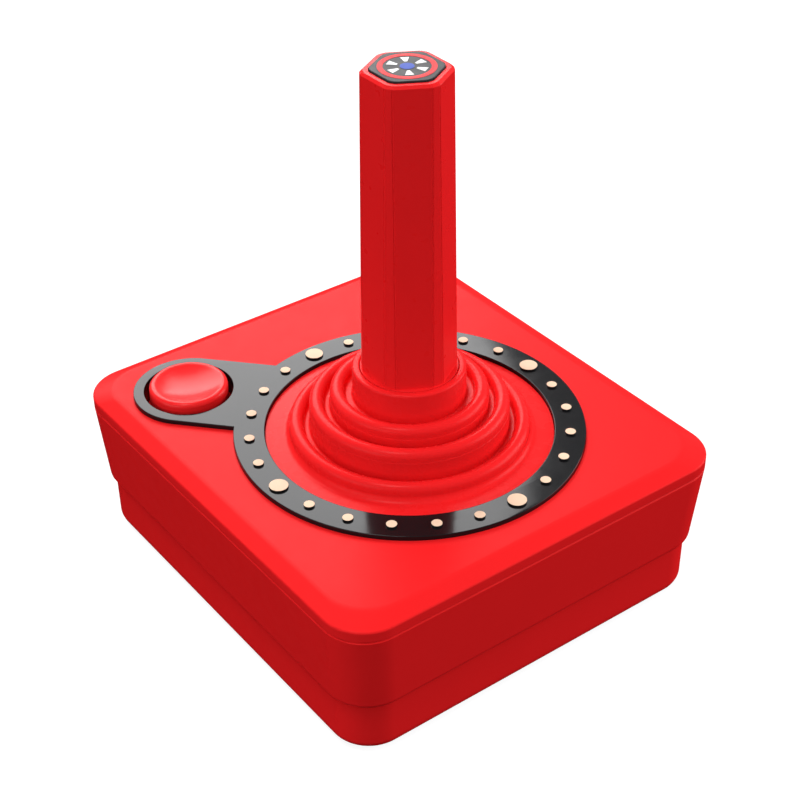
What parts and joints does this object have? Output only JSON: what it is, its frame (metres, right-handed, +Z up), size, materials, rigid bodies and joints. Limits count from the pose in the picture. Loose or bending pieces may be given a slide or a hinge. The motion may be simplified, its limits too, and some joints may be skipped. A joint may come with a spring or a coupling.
{
  "type": "joystick controller",
  "caption": "Retro joystick controller: a squat red case with a ribbed rubber boot, an upright hexagonal grip that tilts all ways, and a round fire button in a black trim plate",
  "frame": {"origin": "middle of the footprint, on the table", "axes": "+X the player's right, +Y away from the player, +Z up"},
  "size_m": [0.09, 0.099, 0.112],
  "materials": {
    "case_red": "moulded, satin gloss",
    "trim_black": "black, high gloss; the raised dots' tops are cream",
    "boot_red": "glossy soft rubber",
    "grip_red": "gloss",
    "cap_black": "satin",
    "button_red": "gloss",
    "nylon": "plain",
    "frame_black": "plain",
    "steel": "bright",
    "board_green": "solder mask",
    "switch_black": "plain",
    "battery_silver": "foil",
    "pad_foam": "adhesive foam",
    "socket_metal": "bright",
    "chip_black": "plain",
    "foot_rubber": "matte"
  },
  "bodies": {
    "housing": {"lower_shell": "case_red", "upper_shell": "case_red", "top_lid": "case_red", "trim_plate": "trim_black", "boot": "boot_red", "gimbal_pins": "steel", "pivot_frame": "frame_black", "button_spring": "steel", "button_board": "board_green", "fire_switch": "switch_black", "direction_switches": "switch_black", "main_board": "board_green", "battery": "battery_silver", "battery_pad": "pad_foam", "charge_socket": "socket_metal", "controller_chip": "chip_black", "rubber_feet": "foot_rubber", "case_screws": "steel", "board_screws": "steel", "lid_screws": "steel", "frame_screws": "steel", "button_board_screws": "steel"},
    "gimbal": {"gimbal_ring": "frame_black", "stick_pin": "steel"},
    "stick": {"grip": "grip_red", "grip_cap": "cap_black", "stick_core": "nylon", "switch_actuator": "nylon", "actuator_screw": "steel"},
    "button": {"fire_button": "button_red"}
  },
  "joints": [
    {"name": "tilt_fore_aft", "type": "hinge", "parent": "housing", "child": "gimbal", "pos_m": [0, -0.0061, 0.0215], "axis": [1, 0, 0], "range_deg": [-10, 10], "stiffness_Nm_per_rad": 0.8, "deforming": ["boot"]},
    {"name": "tilt_side", "type": "hinge", "parent": "gimbal", "child": "stick", "pos_m": [0, -0.0061, 0.0215], "axis": [0, 1, 0], "range_deg": [-10, 10], "stiffness_Nm_per_rad": 0.8, "deforming": ["boot"]},
    {"name": "fire_press", "type": "slide", "parent": "housing", "child": "button", "axis": [0, 0, -1], "range_m": [0, 0.0015], "stiffness_N_per_m": 500, "deforming": ["button_spring"]}
  ]
}
